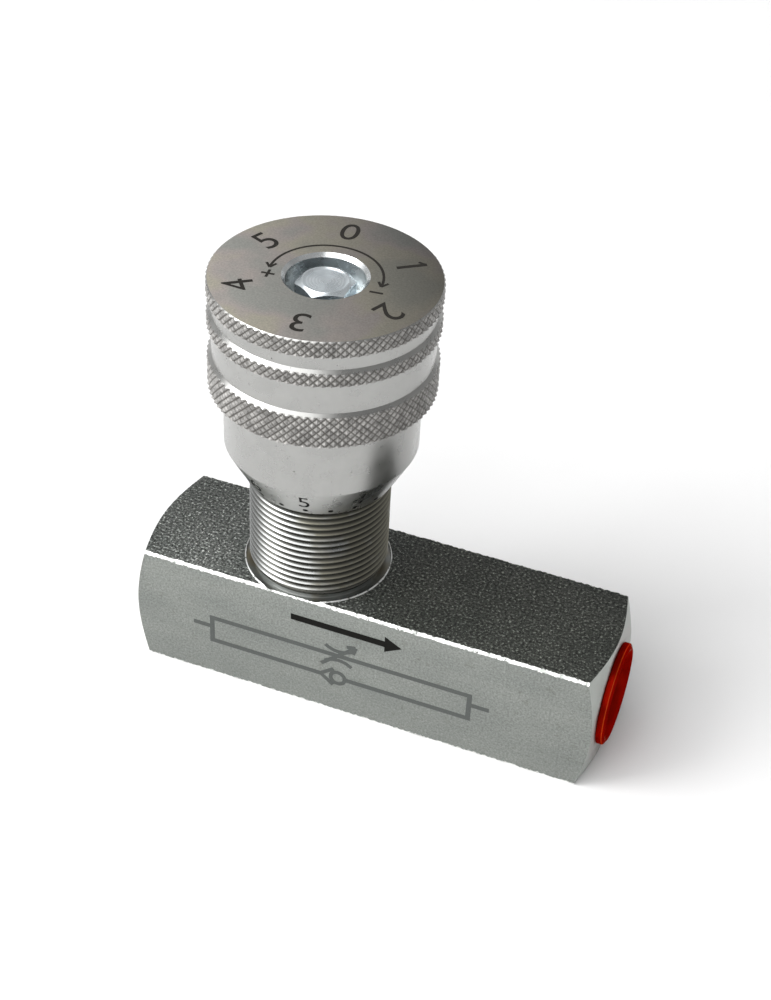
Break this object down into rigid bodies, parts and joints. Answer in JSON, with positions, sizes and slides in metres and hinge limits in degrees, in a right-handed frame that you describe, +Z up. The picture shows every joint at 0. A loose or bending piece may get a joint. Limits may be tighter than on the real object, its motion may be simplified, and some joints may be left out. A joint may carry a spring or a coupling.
{
  "type": "flow control valve",
  "caption": "Steel in-line throttle valve: square bar body with two threaded ports, a threaded turret and a knurled adjusting knob with a scale, and a check valve inside.",
  "frame": {"origin": "where the spindle axis meets the flat underside of the body", "axes": "+Z up along the spindle towards the knob, +X along the ports towards the capped port with the check valve, Y across the body"},
  "size_m": [0.0712, 0.0312, 0.0673],
  "materials": {
    "body_steel": "zinc plated, satin sides and a rough top",
    "knob_steel": "zinc plated, turned and diamond knurled",
    "fastener_steel": "bright zinc",
    "hardened_steel": "ground",
    "spring_steel": "drawn wire",
    "black_steel": "black oxide",
    "bush_brass": "turned",
    "seal_rubber": "smooth",
    "white_plastic": "machined",
    "red_plastic": "moulded, slightly translucent"
  },
  "bodies": {
    "housing": {"valve_body": "body_steel", "seal_washer": "fastener_steel", "spindle_o_ring": "seal_rubber", "backup_ring": "white_plastic", "gland_bush": "bush_brass", "gland_o_ring": "seal_rubber", "check_spring": "spring_steel", "spring_seat": "hardened_steel", "check_circlip": "black_steel"},
    "needle": {"throttle_needle": "hardened_steel"},
    "adjuster": {"knob": "knob_steel", "spindle": "hardened_steel", "needle_pins": "hardened_steel", "knob_bolt": "fastener_steel", "plain_washer": "fastener_steel", "spring_washer": "fastener_steel", "grub_screw": "black_steel", "lock_pad": "white_plastic"},
    "poppet": {"check_poppet": "hardened_steel"},
    "protector": {"port_cap": "red_plastic"}
  },
  "joints": [
    {"name": "needle_lift", "type": "slide", "parent": "housing", "child": "needle", "axis": [0, 0, 1], "range_m": [-0.004, 0.001]},
    {"name": "knob_turn", "type": "hinge", "parent": "needle", "child": "adjuster", "pos_m": [0, 0, 0.036], "axis": [0, 0, 1], "range_deg": [-1440, 360]},
    {"name": "check_open", "type": "slide", "parent": "housing", "child": "poppet", "axis": [1, 0, 0], "range_m": [0, 0.0025], "stiffness_N_per_m": 500, "springref_m": -0.003, "deforming": ["check_spring"]},
    {"name": "cap_pull", "type": "slide", "parent": "housing", "child": "protector", "axis": [1, 0, 0], "range_m": [0, 0.02]}
  ],
  "couplings": [
    {"joint": "knob_turn", "follows": "needle_lift", "rad_per_m": 6283.2}
  ]
}
